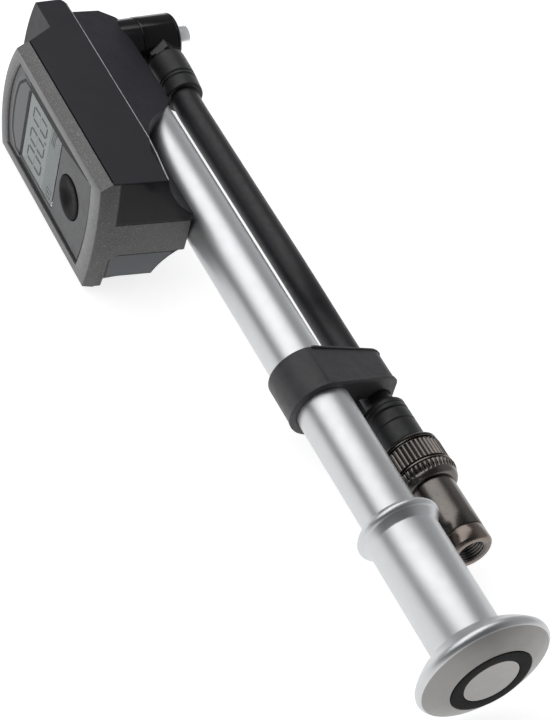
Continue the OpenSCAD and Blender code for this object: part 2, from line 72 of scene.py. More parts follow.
def make_camera():
    back = Vector((math.sin(CAMERA_AZIMUTH) * math.cos(CAMERA_ELEVATION),
                   -math.cos(CAMERA_AZIMUTH) * math.cos(CAMERA_ELEVATION),
                   math.sin(CAMERA_ELEVATION)))
    data = bpy.data.cameras.new("camera")
    data.lens = CAMERA_LENS
    data.sensor_width = 36
    camera = bpy.data.objects.new("camera", data)
    bpy.context.scene.collection.objects.link(camera)
    level = (-back).to_track_quat("-Z", "Y").to_matrix()
    camera.matrix_world = (Matrix.Translation(CAMERA_TARGET + CAMERA_DISTANCE * back)
                           @ (level @ Matrix.Rotation(CAMERA_ROLL, 3, "Z")).to_4x4())
    data.clip_start, data.clip_end = 0.01, 20
    bpy.context.scene.camera = camera


make_camera()

# ------------------------------------------------------------- materials


class Nodes:
    """Short names for the shader nodes that the materials share."""

    def __init__(self, name="finish"):
        self.material = bpy.data.materials.new(name)
        self.material.use_nodes = True
        self.tree = self.material.node_tree
        self.shader = self.tree.nodes["Principled BSDF"]
        self.place = self.add("ShaderNodeTexCoord").outputs["Object"]

    def add(self, kind, **values):
        node = self.tree.nodes.new(kind)
        for key, value in values.items():
            setattr(node, key, value)
        return node

    def link(self, source, target):
        self.tree.links.new(source, target)

    def noise(self, per_mm, detail=3.0, stretch=None):
        """Noise with about per_mm features in a millimetre."""
        node = self.add("ShaderNodeTexNoise")
        node.inputs["Scale"].default_value = per_mm / MM
        node.inputs["Detail"].default_value = detail
        place = self.place
        if stretch:
            mapping = self.add("ShaderNodeMapping")
            mapping.inputs["Scale"].default_value = stretch
            self.link(place, mapping.inputs["Vector"])
            place = mapping.outputs["Vector"]
        self.link(place, node.inputs["Vector"])
        return node.outputs["Fac"]

    def cells(self, per_mm):
        node = self.add("ShaderNodeTexVoronoi")
        node.inputs["Scale"].default_value = per_mm / MM
        self.link(self.place, node.inputs["Vector"])
        return node.outputs["Distance"]

    def span(self, value, low, high, start=0.3, end=0.7):
        """Maps value from start..end to low..high."""
        node = self.add("ShaderNodeMapRange")
        self.link(value, node.inputs["Value"])
        for key, number in zip(("From Min", "From Max", "To Min", "To Max"), (start, end, low, high)):
            node.inputs[key].default_value = number
        return node.outputs["Result"]

    def colours(self, value, stops):
        node = self.add("ShaderNodeValToRGB")
        ramp = node.color_ramp
        while len(ramp.elements) < len(stops):
            ramp.elements.new(0.5)
        for element, (at, colour) in zip(ramp.elements, stops):
            element.position = at
            element.color = (*colour, 1)
        self.link(value, node.inputs["Fac"])
        return node.outputs["Color"]

    def sum_of(self, operation, a, b=None):
        """Works out a value from a and b, where b may be a plain number."""
        node = self.add("ShaderNodeMath", operation=operation)
        self.link(a, node.inputs[0])
        if isinstance(b, float):
            node.inputs[1].default_value = b
        elif b:
            self.link(b, node.inputs[1])
        return node.outputs[0]

    def mixed(self, factor, a, b):
        node = self.add("ShaderNodeMix", data_type="RGBA")
        self.link(factor, node.inputs["Factor"])
        for socket, value in ((node.inputs[6], a), (node.inputs[7], b)):
            if isinstance(value, tuple):
                socket.default_value = (*value, 1)
            else:
                self.link(value, socket)
        return node.outputs[2]

    def bump(self, height, depth_mm, strength=1.0, before=None):
        node = self.add("ShaderNodeBump")
        node.inputs["Distance"].default_value = depth_mm * MM
        node.inputs["Strength"].default_value = strength
        self.link(height, node.inputs["Height"])
        if before:
            self.link(before, node.inputs["Normal"])
        return node.outputs["Normal"]


def shade(colour, amount):
    return tuple(max(0.0, min(1.0, c * amount)) for c in colour)


def finish_of(colour, roughness, metallic=0.0, specular=0.5, mottle=0.06, mottle_per_mm=0.12,
              grain_per_mm=6.0, grain_mm=0.008, uneven=0.04, speckle=0.0, wear_and_sheen=0.0, brushed=None,
              clear=0.0, ior=1.5):
    """A finish with uneven colour, uneven gloss, fine grain, and paler edges where asked: rubbed wear, and
    on the plastics a painted sheen.
    """
    n = Nodes()
    n.shader.inputs["Metallic"].default_value = metallic
    n.shader.inputs["Specular IOR Level"].default_value = specular
    n.shader.inputs["Transmission Weight"].default_value = clear
    n.shader.inputs["IOR"].default_value = ior
    tone = n.colours(n.noise(mottle_per_mm),
                     [(0.3, shade(colour, 1 - mottle)), (0.7, shade(colour, 1 + mottle))])
    if speckle:
        flakes = n.span(n.noise(2.4, 1.0), 0.0, 1.0, 0.54, 0.70)
        tone = n.mixed(flakes, tone, shade(colour, 1 + speckle))
    # paler convex edges: rubbed wear, and on the plastics a painted sheen
    if wear_and_sheen:
        edge = n.span(n.add("ShaderNodeNewGeometry").outputs["Pointiness"], 0.0, wear_and_sheen, 0.515, 0.56)
        tone = n.mixed(edge, tone, shade(colour, 1.0 + 2.2 * wear_and_sheen))
    n.link(tone, n.shader.inputs["Base Color"])
    n.link(n.span(n.noise(0.35, 4.0), roughness - uneven, roughness + uneven), n.shader.inputs["Roughness"])
    height = n.noise(grain_per_mm, 2.0, brushed)
    n.link(n.bump(height, grain_mm, 0.6), n.shader.inputs["Normal"])
    return n.material


def turned_metal(colour, roughness, rings_per_mm=3.0):
    """Lathe-faced metal: fine rings about the barrel's middle line."""
    n = Nodes()
    n.shader.inputs["Metallic"].default_value = 1.0
    parts = n.add("ShaderNodeSeparateXYZ")
    n.link(n.place, parts.inputs[0])
    squares = [n.sum_of("POWER", n.sum_of("SUBTRACT", parts.outputs[axis], middle), 2.0)
               for axis, middle in (("Y", BARREL_Y), ("Z", BARREL_Z))]
    radius = n.sum_of("SQRT", n.sum_of("ADD", *squares))
    along = n.add("ShaderNodeCombineXYZ")
    n.link(radius, along.inputs["X"])
    rings = n.add("ShaderNodeTexNoise", noise_dimensions="3D")
    rings.inputs["Scale"].default_value = rings_per_mm / MM
    rings.inputs["Detail"].default_value = 3
    n.link(along.outputs[0], rings.inputs["Vector"])
    tone = n.colours(rings.outputs["Fac"], [(0.3, shade(colour, 0.9)), (0.7, shade(colour, 1.08))])
    n.link(tone, n.shader.inputs["Base Color"])
    n.link(n.span(n.noise(0.3), roughness - 0.03, roughness + 0.03), n.shader.inputs["Roughness"])
    n.link(n.bump(rings.outputs["Fac"], 0.006, 0.5), n.shader.inputs["Normal"])
    return n.material


def smoky_metal(colour, warm, roughness):
    """Black nickel plating: a grey mirror with warm and cool drifts of tint."""
    n = Nodes()
    n.shader.inputs["Metallic"].default_value = 1.0
    drift = n.colours(n.noise(0.09, 4.0), [(0.32, colour), (0.68, warm)])
    stain = n.mixed(n.span(n.noise(1.6, 5.0), 0.0, 0.35, 0.5, 0.75), drift, shade(colour, 0.6))
    n.link(stain, n.shader.inputs["Base Color"])
    n.link(n.span(n.noise(2.2, 4.0), roughness - 0.02, roughness + 0.05), n.shader.inputs["Roughness"])
    n.link(n.bump(n.noise(4.0, 3.0, (0.12, 1, 1)), 0.006, 0.5), n.shader.inputs["Normal"])
    return n.material


def rubber(colour, roughness, pebbles_per_mm=3.5, pebble_mm=0.03, sheen=0.15, specular=0.4):
    """Moulded rubber: matte, faintly pebbled, with a dusty sheen and paler scuffs."""
    n = Nodes()
    n.shader.inputs["Sheen Weight"].default_value = sheen
    n.shader.inputs["Sheen Roughness"].default_value = 0.5
    n.shader.inputs["Specular IOR Level"].default_value = specular
    tone = n.colours(n.noise(0.25, 5.0), [(0.35, shade(colour, 0.88)), (0.7, shade(colour, 1.15))])
    scuff = n.span(n.noise(0.9, 6.0, (0.25, 1, 1)), 0.0, 0.25, 0.62, 0.8)
    n.link(n.mixed(scuff, tone, shade(colour, 2.2)), n.shader.inputs["Base Color"])
    n.link(n.span(n.noise(0.6, 4.0), roughness - 0.06, roughness + 0.08), n.shader.inputs["Roughness"])
    pebbles = n.bump(n.cells(pebbles_per_mm), pebble_mm, 0.5)
    n.link(n.bump(n.noise(9.0, 2.0), 0.01, 0.4, pebbles), n.shader.inputs["Normal"])
    return n.material


MATERIALS = {
    "anodised_silver": finish_of((0.62, 0.63, 0.64), 0.41, 1.0, mottle=0.012, grain_per_mm=7.0,
                                 grain_mm=0.006, uneven=0.02),
    "disc_silver": turned_metal((0.345, 0.335, 0.325), 0.36),
    "palm_silver": turned_metal((0.29, 0.283, 0.274), 0.40),
    "housing_plastic": finish_of((0.033, 0.032, 0.038), 0.36, specular=0.12, mottle=0.05,
                                 grain_per_mm=5.0, grain_mm=0.012),
    # less glossy copy of the housing finish for the near slope that closes on the barrel: painted shade
    "housing_slope_shaded": finish_of((0.036, 0.035, 0.042), 0.52, specular=0.02, mottle=0.05,
                               grain_per_mm=5.0, grain_mm=0.012),
    "housing_gloss": finish_of((0.010, 0.010, 0.012), 0.12, specular=0.2, grain_mm=0.002, uneven=0.03),
    # lighter copy of the end panels' gloss black for the far end panel: painted light
    "housing_far_end_lit": finish_of((0.088, 0.094, 0.102), 0.16, specular=0.3, grain_mm=0.002, uneven=0.03),
    "edge_gleam": finish_of((0.45, 0.45, 0.46), 0.30, 0.4, mottle=0.3, mottle_per_mm=0.3, grain_mm=0.004),
    "bezel_plastic": finish_of((0.096, 0.094, 0.093), 0.34, 0.3, mottle=0.05, grain_per_mm=5.0,
                               grain_mm=0.02, speckle=0.9),
    # darker copy of the bezel finish for the faces at the head's lower end: painted shade
    "bezel_end_shaded": finish_of((0.082, 0.081, 0.080), 0.34, 0.3, specular=0.35, mottle=0.08,
                           grain_per_mm=5.0, grain_mm=0.02, speckle=0.7),
    # darker copy of the bezel finish for the top end: painted shade
    "bezel_top_shaded": finish_of((0.050, 0.049, 0.048), 0.34, 0.3, specular=0.25, mottle=0.08,
                           grain_per_mm=5.0, grain_mm=0.02, speckle=0.7),
    # lighter copy of the bezel finish for the front rim: painted light
    "bezel_rim_lit": finish_of((0.130, 0.130, 0.131), 0.32, 0.4, mottle=0.05, grain_per_mm=6.0,
                           grain_mm=0.01, speckle=0.5),
    "panel_plastic": finish_of((0.040, 0.042, 0.045), 0.36, 0.2, mottle=0.04, grain_per_mm=6.0,
                               grain_mm=0.012, speckle=0.5),
    "panel_dark": finish_of((0.005, 0.006, 0.008), 0.30, specular=0.08, mottle=0.06, grain_mm=0.004),
    "panel_lens": finish_of((0.024, 0.029, 0.038), 0.10, specular=0.4, mottle=0.10, mottle_per_mm=0.05,
                            grain_mm=0.001, uneven=0.02),
    "lcd_glass": finish_of((0.300, 0.330, 0.325), 0.40, specular=0.05, mottle=0.03, grain_per_mm=8.0,
                           grain_mm=0.004),
    "lcd_lower": finish_of((0.196, 0.218, 0.222), 0.40, specular=0.05, mottle=0.03, grain_per_mm=8.0,
                           grain_mm=0.004),
    "lcd_ink": finish_of((0.004, 0.006, 0.006), 0.60, specular=0.0, mottle=0.10, grain_mm=0.003),
    "lcd_ghost": finish_of((0.220, 0.245, 0.243), 0.40, specular=0.05, mottle=0.05, grain_mm=0.003),
    "clear_window": finish_of((0.96, 0.98, 0.98), 0.03, specular=0.15, mottle=0.005, grain_mm=0.0005,
                              uneven=0.01, clear=1.0, ior=1.16),
    "board": finish_of((0.02, 0.12, 0.05), 0.4, mottle=0.2, mottle_per_mm=1.0, grain_mm=0.01),
    "cover_plastic": finish_of((0.030, 0.030, 0.034), 0.5, grain_per_mm=4.0, grain_mm=0.03, wear_and_sheen=0.5),
    "guide_plastic": finish_of((0.03, 0.03, 0.032), 0.45, grain_mm=0.015),
    "gloss_black": finish_of((0.006, 0.006, 0.007), 0.14, specular=0.35, mottle=0.15, grain_mm=0.0015,
                             uneven=0.03, wear_and_sheen=0.5),
    "palm_black": finish_of((0.010, 0.010, 0.011), 0.25, specular=0.02, mottle=0.1, grain_mm=0.003),
    "black_anodised": finish_of((0.010, 0.010, 0.011), 0.26, specular=0.3, mottle=0.12,
                                grain_mm=0.003, wear_and_sheen=0.8),
    "black_nickel": smoky_metal((0.120, 0.115, 0.110), (0.165, 0.145, 0.132), 0.24),
    "bronze_nickel": smoky_metal((0.17, 0.145, 0.13), (0.27, 0.215, 0.185), 0.24),
    "bright_bolt": finish_of((0.93, 0.93, 0.94), 0.28, 1.0, mottle=0.05, grain_mm=0.003),
    "steel": finish_of((0.60, 0.60, 0.61), 0.28, 1.0, mottle=0.06, grain_mm=0.004),
    "sensor_steel": finish_of((0.04, 0.04, 0.042), 0.40, mottle=0.08, grain_mm=0.006),
    "rod_steel": finish_of((0.70, 0.70, 0.71), 0.14, 1.0, mottle=0.02, grain_mm=0.002,
                           brushed=(1, 0.1, 0.1)),
    "screw_steel": finish_of((0.10, 0.10, 0.105), 0.35, 1.0, mottle=0.1, grain_mm=0.006),
    "brass": finish_of((0.70, 0.52, 0.24), 0.28, 1.0, mottle=0.08, grain_mm=0.004),
    "seal_rubber": rubber((0.020, 0.020, 0.021), 0.5),
    "hose_rubber": rubber((0.016, 0.0155, 0.0185), 0.42, 4.0, 0.012, sheen=0.05, specular=0.35),
    "boot_rubber": rubber((0.017, 0.0175, 0.019), 0.44, 4.0, 0.012, sheen=0.05, specular=0.35),
    "button_rubber": rubber((0.006, 0.006, 0.007), 0.50, 4.5, 0.012, sheen=0.0, specular=0.06),
    "clip_rubber": rubber((0.042, 0.040, 0.044), 0.46, 3.0, 0.015, sheen=0.05),
}
for key, material in MATERIALS.items():
    material.name = key

# ------------------------------------------------------ building helpers


def close_piece(name, bm, body, slot, node=(), matrix=PUMP, material=(), bevel=0.0, sharp=SHARP, steps=3):
    """Makes the finished piece from a bmesh in the pump's frame."""
    bmesh.ops.remove_doubles(bm, verts=bm.verts, dist=1e-5 if matrix is not None else 1e-7)
    bmesh.ops.recalc_face_normals(bm, faces=bm.faces)
    if matrix is not None:
        bm.transform(matrix)
    mesh = bpy.data.meshes.new(name)
    bm.to_mesh(mesh)
    bm.free()
    mesh.polygons.foreach_set("use_smooth", [True] * len(mesh.polygons))
    mesh.set_sharp_from_angle(angle=sharp)
    for key in (slot, *material):
        mesh.materials.append(MATERIALS[key])
    piece = bpy.data.objects.new(name, mesh)
    bpy.context.scene.collection.objects.link(piece)
    if bevel:
        rounding = piece.modifiers.new("rounded_edges", "BEVEL")
        rounding.width = bevel * MM
        rounding.segments = steps
        rounding.limit_method = "ANGLE"
        rounding.angle_limit = math.radians(34)
        rounding.use_clamp_overlap = True
        rounding.harden_normals = True
        weighting = piece.modifiers.new("flat_faces", "WEIGHTED_NORMAL")
        weighting.mode, weighting.keep_sharp = "FACE_AREA", True
    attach(piece, body)
    if node:
        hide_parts(*([node] if isinstance(node, str) else node))
    return piece


def rounded(corners, steps=6):
    """Closed outline of (a, b, radius) corners, each rounded by its radius."""
    points = []
    for i, (a, b, radius) in enumerate(corners):
        here = Vector((a, b))
        before = Vector(corners[i - 1][:2]) - here
        after = Vector(corners[(i + 1) % len(corners)][:2]) - here
        angle = before.angle(after, math.pi)
        if radius <= 0 or angle > math.radians(178):
            points.append((a, b))
            continue
        reach = min(radius / math.tan(angle / 2), 0.49 * before.length, 0.49 * after.length)
        start, end = here + before.normalized() * reach, here + after.normalized() * reach
        for k in range(steps + 1):
            t = k / steps
            q = start * (1 - t) ** 2 + here * 2 * t * (1 - t) + end * t * t
            points.append((q.x, q.y))
    return points


def spread(low, high, steps):
    """Evenly spaced values from low to high, both included."""
    return [low + (high - low) * k / steps for k in range(steps + 1)]


def circle_points(centre, radius, angles):
    """Points on a circle, angles in degrees."""
    return [(centre[0] + radius * math.cos(math.radians(a)),
             centre[1] + radius * math.sin(math.radians(a))) for a in angles]


def bow(radius, z):
    """How far a bow of this radius falls back at z from its middle."""
    return radius - math.sqrt(radius ** 2 - z * z)


def surface(bm, rows, wrap_rows=False):
    """Skins a grid of points: each row is a closed ring. A ring of one point is a pole."""
    made = [[bm.verts.new(p) for p in row] for row in rows]
    pairs = list(zip(made, made[1:])) + ([(made[-1], made[0])] if wrap_rows else [])
    for low, high in pairs:
        count = max(len(low), len(high))
        for k in range(count):
            a, b = low[k % len(low)], low[(k + 1) % len(low)]
            c, d = high[(k + 1) % len(high)], high[k % len(high)]
            corners = [v for i, v in enumerate((a, b, c, d)) if v not in (a, b, c, d)[:i]]
            if len(corners) > 2:
                bm.faces.new(corners)
    return made


def ring(x, r, steps, cy=0.0, cz=0.0):
    if r < 1e-6:
        return [(x, cy, cz)]
    return [(x, cy + r * math.cos(2 * math.pi * k / steps), cz + r * math.sin(2 * math.pi * k / steps))
            for k in range(steps)]


def turned(profile, steps=144, cy=0.0, cz=0.0, closed=True):
    """Solid of revolution about an X axis from (x, radius) points."""
    bm = bmesh.new()
    surface(bm, [ring(x, r, steps, cy, cz) for x, r in profile], wrap_rows=closed)
    return bm


def standing(x, y=0.0):
    """Puts a turned shape's axis along +Y, starting from (x, y) at the barrel's height."""
    return PUMP @ Matrix.Translation((x, y, 0)) @ Matrix.Rotation(math.pi / 2, 4, "Z")


def slab(outline, low, high, cuts=(), bm=None):
    """Prism: the outline's (a, b) with a third height, cut across b at each of cuts."""
    bm = bm or bmesh.new()
    bottom = [bm.verts.new((a, b, low)) for a, b in outline]
    face = bm.faces.new(bottom)
    new = bmesh.ops.extrude_face_region(bm, geom=[face])["geom"]
    for v in (g for g in new if isinstance(g, bmesh.types.BMVert)):
        v.co.z = high
    for cut in cuts:
        bmesh.ops.bisect_plane(bm, geom=bm.verts[:] + bm.edges[:] + bm.faces[:], plane_co=(0, cut, 0),
                               plane_no=(0, 1, 0), dist=1e-6)
    return bm


def remap(bm, rule):
    for v in bm.verts:
        v.co = rule(*v.co)
    return bm


def facing_display(bm, y):
    """Outline in (x, z) with height: stands it on the plane Y = y, growing towards -Y."""
    return remap(bm, lambda a, b, h: Vector((a, y - h, b)))


def cad_copy(name, node, body, slot, bevel, material=(), paint=None, width_steps=3):
    """A node's solid with its flats merged and its edges rounded."""
    bm = bmesh.new()
    bm.from_mesh(frame["nodes"][node].data)
    bmesh.ops.remove_doubles(bm, verts=bm.verts, dist=2e-6)
    bmesh.ops.dissolve_limit(bm, angle_limit=math.radians(0.6), verts=bm.verts, edges=bm.edges)
    if paint:
        bm.normal_update()
        for f in bm.faces:
            f.material_index = paint(f)
    return close_piece(name, bm, body, slot, node, None, material, bevel, math.radians(34), width_steps)


# ------------------------------------------------------- barrel and rods

close_piece("barrel", turned(rounded([
    (-109.95, 6.5, 0), (-109.95, 8, 0.15), (112, 8, 0.25), (112, 6.5, 0.2)]), 160),
    "pump", "anodised_silver", "barrel_tube")

close_piece("rod_guide_plug", turned(rounded([
    (100, 3.55, 0.3), (100, 6.48, 0.4), (112, 6.48, 0), (112, 8, 0), (113.5, 8, 0.45),
    (113.5, 3.55, 0.35)]), 96),
    "pump", "guide_plastic", "rod_guide")
close_piece("sliding_rod", turned(rounded([
    (-96, 1.5, 0), (-96, 3.5, 0.3), (118.85, 3.5, 0.2), (118.85, 2, 0), (106.4, 2, 0), (106.4, 0, 0),
    (-88, 0, 0), (-88, 1.5, 0)]), 72), "handle", "rod_steel", "piston_rod")

# ---------------------------------------------------------------- handle


def bulged(a, b, height, steps):
    """Shallow curve from a to b that stands out by height at its middle."""
    a, b = Vector(a), Vector(b)
    along = b - a
    out = Vector((-along.y, along.x)).normalized()
    return [tuple(a + along * t + out * 4 * height * t * (1 - t)) for t in spread(0, 1, steps)]


SLEEVE_X, SLEEVE_R, FACE_X, BORE_R, RING_R = 77.3, 9.85, 128.4, 8.35, 11.8


def handle_outline():
    s, f = SLEEVE_X, FACE_X
    ring_front = [(s, BORE_R + 0.3), (s, RING_R - 1.35), (s + 0.12, RING_R - 0.98),
                  (s + 0.4, RING_R - 0.65)]
    crest = [(s + 1.7 + 1.2 * math.sin(math.radians(a)), RING_R - 1 + math.cos(math.radians(a)))
             for a in range(-64, 65, 8)]
    hollow = [(s + 2.95 + 2.3 * math.sin(math.radians(a / 1.15)),
               SLEEVE_R + 1.1 * (1 - math.sin(math.radians(a)))) for a in range(0, 91, 6)]
    flare = bulged((f - 11.2, SLEEVE_R + 0.08), (f - 5.8, 18.25), 0.7, 20)
    rim = [(f - 5.5, 18.5), (f - 5.1, 18.66), (f - 4.6, 18.74), (f - 4.1, 18.68), (f - 3.7, 18.5),
           (f - 3.35, 18.2), (f - 3.1, 17.85)]
    face = [(f - 0.55, 12.3), (f - 0.3, 11.75), (f - 0.22, 11.6), (f - 0.3, 11.48)]
    well = [(f - 1.2, 11.46), (f - 1.2, 3.1), (f - 4, 3.1), (f - 4, 2.1), (f - 9.5, 2.1), (f - 9.5, BORE_R)]
    return (ring_front + crest + hollow + [(f - 11.35, SLEEVE_R)] + flare + rim + face + well
            + [(s + 0.3, BORE_R)])


handle = turned(handle_outline(), 192)
for face in handle.faces:
    at = face.calc_center_median()
    if at.x > FACE_X - 2.9 and math.hypot(at.y, at.z) > 11.5:
        face.material_index = 1
close_piece("handle_body", handle, "handle", "anodised_silver", "handle_grip", material=("palm_silver",))
close_piece("palm_ring", turned(rounded([
    (FACE_X - 1.15, 7.9, 0), (FACE_X - 1.15, 11.4, 0), (FACE_X - 0.1, 11.4, 0.35),
    (FACE_X - 0.1, 7.9, 0.3)]), 160),
    "handle", "palm_black", "handle_end_ring")
close_piece("palm_disc", turned(
    [(FACE_X - 1.15, 7.85), (FACE_X - 0.35, 7.85), (FACE_X - 0.12, 7.74), (FACE_X - 0.02, 7.5),
     (FACE_X, 7.2), (FACE_X, 0), (FACE_X - 1.15, 0)], 160, closed=False),
    "handle", "disc_silver", "handle_end_disc")
close_piece("stop_ring", turned(rounded([
    (FACE_X - 12.6, 3.52, 0.2), (FACE_X - 12.6, 7.6, 0.6), (FACE_X - 9.55, 7.6, 0.2),
    (FACE_X - 9.55, 3.52, 0)]), 72),
    "handle", "seal_rubber", "handle_bumper")

# ------------------------------------------------------------ gauge head

END_X, END_TILT, END_R, BACK_Y = -38.4, math.radians(7), 89.0, -32.3


def on_end(v, z, lift):
    """Point on the head's bowed lower end: v runs down it from the bezel towards the barrel."""
    u = lift - bow(END_R, z)
    return Vector((END_X + u * math.cos(END_TILT) + v * math.sin(END_TILT),
                   BACK_Y - u * math.sin(END_TILT) + v * math.cos(END_TILT), z))


def on_slope(face):
    """1 for the near shell's slope that closes on the barrel, else 0."""
    return int(face.normal.y > 0.15 and face.normal.z > 0.15)


# the near shell's slope takes a less glossy copy of the housing finish, as painted shade
cad_copy("head_shell_near", "housing_near", "pump", "housing_plastic", 0.30, ("housing_slope_shaded",), on_slope)
cad_copy("head_shell_far", "housing_far", "pump", "housing_plastic", 0.30)


def end_plate(name, outline, low, high, slot, node=(), bevel=0.22):
    """A plate that follows the bowed end; outline is in (v, z)."""
    bm = slab(outline, low, high, [c * 1.5 for c in range(-13, 14)])
    remap(bm, lambda v, z, h: on_end(v, z, h))
    return close_piece(name, bm, "pump", slot, node, bevel=bevel)


def flank(centre_y, centre_z, radius, z):
    """v where the hollow flank meets height z on the end."""
    return centre_y - math.sqrt(max(radius ** 2 - (z - centre_z) ** 2, 0)) - BACK_Y


end_plate("end_seam", [
    (1.2, 19.5), (15.6, 19.5), (17.6, 12.4), (22.3, 6.0), (22.3, -5.9), (19.9, -6.6), (16.2, -13.6),
    (16.2, -15.3), (1.2, -15.3)], -0.5, 0.03, "gloss_black", bevel=0.0)
near_edge = [(flank(1.2, 23.8, 18.3, z) - 0.45, z) for z in (19.55, 18, 16, 14, 12, 10.2, 9, 8.1)]
end_plate("end_panel_near", rounded([(1.95, 6.15, 0.25), (1.95, 19.55, 0.5)]
                                    + [(v, z, 0) for v, z in near_edge] + [(23.4, 6.15, 0.4)]),
          -0.5, 0.12, "housing_gloss", bevel=0.14)
far_edge = [(flank(1.6, -20, 18.3, z) - 0.45, z) for z in (-7.2, -9, -11, -13, -15.2)]
# the far end panel takes a lighter copy of the near panel's gloss black, as painted light
end_plate("end_panel_far", rounded([(2.2, -15.2, 0.3), (1.95, -6.15, 2.2), (20.4, -6.15, 0.3)]
                                   + [(v, z, 0) for v, z in far_edge]),
          -0.5, 0.10, "housing_far_end_lit", bevel=0.14)

# fine raised edge along the crease between the flat side and the side that closes on the barrel, in pale
# grey as a painted highlight
CREASE = [(-118.6, -15.05), (-57.0, -15.05), (-50.0, -15.5), (-43.0, -16.3), (-38.9, -16.75)]
for side, sign in (("near", 1), ("far", -1)):
    path = CREASE if sign > 0 else CREASE[:2]
    edge = slab([(x, y - 0.05) for x, y in path] + [(x, y + 0.3) for x, y in path[::-1]], 19.6, 19.999)
    remap(edge, lambda x, y, z, sign=sign: Vector((x, y, sign * z)))
    close_piece("crease_" + side, edge, "pump", "edge_gleam", bevel=0.05, steps=2)

# bezel ---------------------------------------------------------------

FRONT_Y = -36.5


def display_outline(half_width, top_x, end_x, top_r=40.0, end_r=END_R, steps=20):
    """Outline round the display in (x, z): a bowed top, straight sides and a bowed end."""
    w = half_width
    return ([(top_x + bow(top_r, z), z) for z in spread(-w, w, steps)]
            + [(end_x - bow(end_r, z), z) for z in spread(w, -w, steps)])


def bezel():
    loops = [  # half width, top, end, depth, radii of the two bows
        (19.55, -109.35, -38.22, BACK_Y + 0.05, 40, 89), (19.55, -109.35, -38.22, BACK_Y - 0.34, 40, 89),
        (19.80, -109.25, -38.22, BACK_Y - 0.38, 40, 89), (19.80, -109.25, -38.22, BACK_Y - 0.5, 40, 89),
        (18.42, -107.82, -38.26, -36.25, 40, 89), (18.3, -107.7, -38.4, -36.44, 40, 89),
        (18.05, -107.5, -38.6, FRONT_Y + 0.01, 40, 89),
        (15.55, -104.0, -44.0, FRONT_Y + 0.01, 36, 62), (15.36, -103.75, -44.3, -36.36, 35, 61),
        (15.33, -103.5, -44.55, -36.1, 34, 60), (15.33, -103.5, -44.55, -35.4, 34, 60),
        (17.0, -105, -43, -34.5, 36, 62), (17.2, -105.2, -42.8, BACK_Y + 0.05, 36, 62)]
    bm = bmesh.new()
    rows = [[(x, y, z) for x, z in display_outline(w, top, end, top_r, end_r)]
            for w, top, end, y, top_r, end_r in loops]
    surface(bm, rows, wrap_rows=True)
    bm.normal_update()
    # faces are sorted by the way they face: a lighter copy of the bezel finish on the front rim as painted
    # light, darker copies on the lower end and the top end as painted shade, and black on the back edge
    # against the shell
    for f in bm.faces:
        middle = f.calc_center_median()
        if abs(f.normal.y) > 0.9 and middle.y < -36.4:
            f.material_index = 1
        elif abs(f.normal.x) > 0.9 and middle.x > -80:
            f.material_index = 2
        elif abs(f.normal.x) > 0.5 and middle.x < -103.7 and BACK_Y - 0.5 > middle.y > -36.3:
            f.material_index = 4
        elif middle.y > BACK_Y - 0.39:
            f.material_index = 3
    close_piece("bezel_ring", bm, "pump", "bezel_plastic", "bezel_frame", sharp=math.radians(28),
                material=("bezel_rim_lit", "bezel_end_shaded", "palm_black", "bezel_top_shaded"))


bezel()
# the tongue takes the darker end copy of the bezel finish, as painted shade
end_plate("bezel_tongue", rounded([
    (-0.6, -19.6, 0), (-0.6, 19.6, 0), (1.55, 19.6, 0.5), (1.55, 5.75, 0.2), (24.1, 5.75, 0.5),
    (24.1, -5.75, 0.5), (3.9, -5.75, 2.6), (1.55, -7.8, 1.2), (1.55, -19.6, 0.4)]), -1.2, 0.16, "bezel_end_shaded")

# face panel ------------------------------------------------------------

PANEL_Y = -35.35
LCD_LOW, LCD_HIGH, LCD_HALF = -90.4, -67.2, 12.45
BUTTON_X = -58.0


def panel_piece(name, outlines, low, high, slot, node=(), bevel=0.0):
    """One or more flat inlays facing the display side; heights are from PANEL_Y."""
    bm = bmesh.new()
    for outline in outlines:
        slab(outline, low, high, bm=bm)
    facing_display(bm, PANEL_Y)
    return close_piece(name, bm, "pump", slot, node, bevel=bevel, steps=2)


def box_outline(x0, x1, half, radius, count=96):
    """Rounded rectangle in (x, z), resampled to count points from the middle of its -X side."""
    points = rounded([(x0, 0, 0), (x0, half, radius), (x1, half, radius), (x1, -half, radius),
                      (x0, -half, radius)])
    lengths = [(Vector(points[(i + 1) % len(points)]) - Vector(p)).length for i, p in enumerate(points)]
    total, result = sum(lengths), []
    for k in range(count):
        want, i = total * k / count, 0
        while want > lengths[i]:
            want -= lengths[i]
            i += 1
        a, b = Vector(points[i]), Vector(points[(i + 1) % len(points)])
        result.append(tuple(a.lerp(b, want / lengths[i])))
    return result


def face_panel():
    """Grey plate with openings for the display and the button."""
    bm = slab(display_outline(15.25, -103.4, -44.6, 34, 60, 47), 0.0, 0.62)
    facing_display(bm, PANEL_Y)
    plate = close_piece("face_plate", bm, "pump", "panel_plastic", "face_panel", bevel=0.25)
    cutter = slab(box_outline(LCD_LOW - 0.6, LCD_HIGH + 0.1, LCD_HALF + 0.1, 0.4), -1, 2)
    slab(circle_points((BUTTON_X, 0), 6.8, spread(0, 352.5, 47)), -1, 2, bm=cutter)
    facing_display(cutter, PANEL_Y)
    bmesh.ops.recalc_face_normals(cutter, faces=cutter.faces)
    cutter.transform(PUMP)
    mesh = bpy.data.meshes.new("cutter")
    cutter.to_mesh(mesh)
    cutter.free()
    tool = bpy.data.objects.new("cutter", mesh)
    bpy.context.scene.collection.objects.link(tool)
    cut = plate.modifiers.new("openings", "BOOLEAN")
    cut.object, cut.operation, cut.solver = tool, "DIFFERENCE", "EXACT"
    plate.modifiers.move(len(plate.modifiers) - 1, 0)
    bpy.context.view_layer.update()
    shape = bpy.data.meshes.new_from_object(plate.evaluated_get(bpy.context.evaluated_depsgraph_get()))
    plate.modifiers.clear()
    plate.data = shape
    bpy.data.objects.remove(tool)


face_panel()


